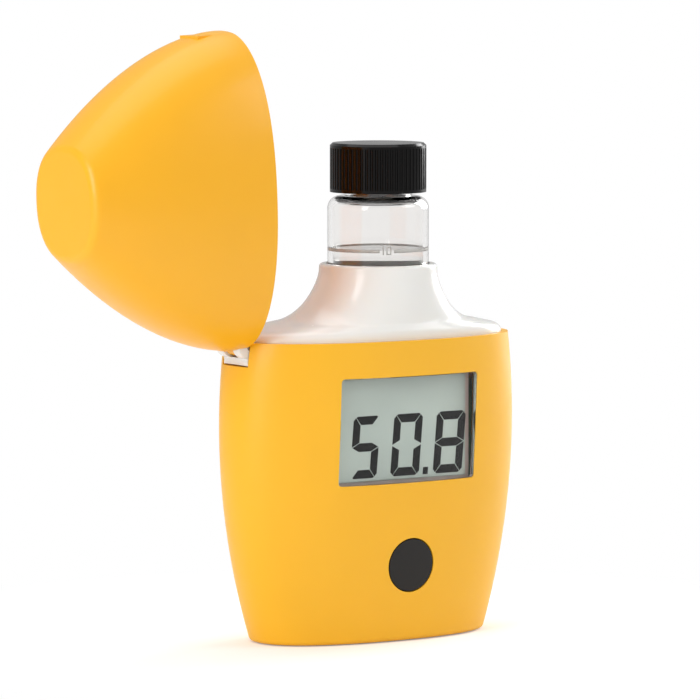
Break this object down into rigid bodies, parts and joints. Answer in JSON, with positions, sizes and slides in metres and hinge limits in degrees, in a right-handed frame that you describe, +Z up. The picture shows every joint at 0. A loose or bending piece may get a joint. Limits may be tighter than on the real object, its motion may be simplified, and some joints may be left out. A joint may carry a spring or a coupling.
{
  "type": "portable colorimeter",
  "caption": "Pocket colorimeter with an oval yellow case, front display and push button, a capped glass cell in a white collar and a domed hinged lid standing open.",
  "frame": {"origin": "centre of the flat base, on the surface it stands on", "axes": "+X to the right seen from the display side, +Y from the display to the back, +Z up out of the base"},
  "size_m": [0.1287, 0.0432, 0.1478],
  "materials": {
    "yellow_shell": "satin moulded",
    "white_frame": "gloss moulded",
    "yellow_lid": "satin moulded",
    "steel_pin": "ground",
    "clear_pane": "clear",
    "display": "reflective grey-green",
    "grey_carrier": "moulded",
    "contact_rubber": "striped",
    "circuit_board": "solder mask",
    "chip_body": "moulded",
    "header_body": "moulded",
    "dark_button": "satin",
    "switch_body": "moulded",
    "switch_plunger": "moulded",
    "black_holder": "moulded",
    "lamp_epoxy": "clear epoxy",
    "filter_glass": "coated",
    "detector_can": "nickel plated",
    "sensor_board": "solder mask",
    "wiper_rubber": "moulded",
    "cell_glass": "clear",
    "sample": "clear liquid",
    "black_cap": "gloss, ribbed",
    "cap_liner": "moulded",
    "tube_plastic": "moulded",
    "battery_jacket": "plain jacket",
    "spring_wire": "nickel plated",
    "yellow_cap": "satin moulded",
    "contact_metal": "plated",
    "screw_steel": "zinc plated"
  },
  "bodies": {
    "case": {"body_shell": "yellow_shell", "inner_frame": "white_frame", "hinge_pin": "steel_pin", "window_pane": "clear_pane", "display_panel": "display", "display_carrier": "grey_carrier", "contact_strips": "contact_rubber", "main_board": "circuit_board", "controller_chip": "chip_body", "pin_header": "header_body", "switch_body": "switch_body", "cell_holder": "black_holder", "lamp": "lamp_epoxy", "colour_filter": "filter_glass", "photodiode": "detector_can", "sensor_board": "sensor_board", "wiper_ring": "wiper_rubber", "battery_tube": "tube_plastic", "battery": "battery_jacket", "battery_spring": "spring_wire", "base_screws": "screw_steel", "board_screws": "screw_steel", "sensor_screws": "screw_steel"},
    "lid": {"lid": "yellow_lid"},
    "button": {"button_cap": "dark_button", "switch_plunger": "switch_plunger"},
    "cell": {"glass_cell": "cell_glass", "sample_liquid": "sample"},
    "seal": {"cap_seal": "cap_liner"},
    "cap": {"screw_cap": "black_cap"},
    "battery_cap": {"battery_cap": "yellow_cap", "contact_disc": "contact_metal"}
  },
  "joints": [
    {"name": "lid_hinge", "type": "hinge", "parent": "case", "child": "lid", "pos_m": [-0.0372, 0, 0.0725], "axis": [0, -1, 0], "range_deg": [-92.4, 0]},
    {"name": "button_press", "type": "slide", "parent": "case", "child": "button", "axis": [0, 1, 0], "range_m": [0, 0.0005], "stiffness_N_per_m": 400, "springref_m": -0.0012},
    {"name": "cell_lift", "type": "slide", "parent": "case", "child": "cell", "axis": [0, 0, 1], "range_m": [0, 0.03]},
    {"name": "cap_rise", "type": "slide", "parent": "cell", "child": "seal", "axis": [0, 0, 1], "range_m": [0, 0.003]},
    {"name": "cap_turn", "type": "hinge", "parent": "seal", "child": "cap", "pos_m": [0.0005, -0.004, 0.115], "axis": [0, 0, 1], "range_deg": [0, 360]},
    {"name": "battery_cap_turn", "type": "hinge", "parent": "case", "child": "battery_cap", "pos_m": [0.013, 0.0035, 0.001], "axis": [0, 0, -1], "range_deg": [0, 90]}
  ],
  "couplings": [
    {"joint": "cap_turn", "follows": "cap_rise", "rad_per_m": 2094.4}
  ]
}
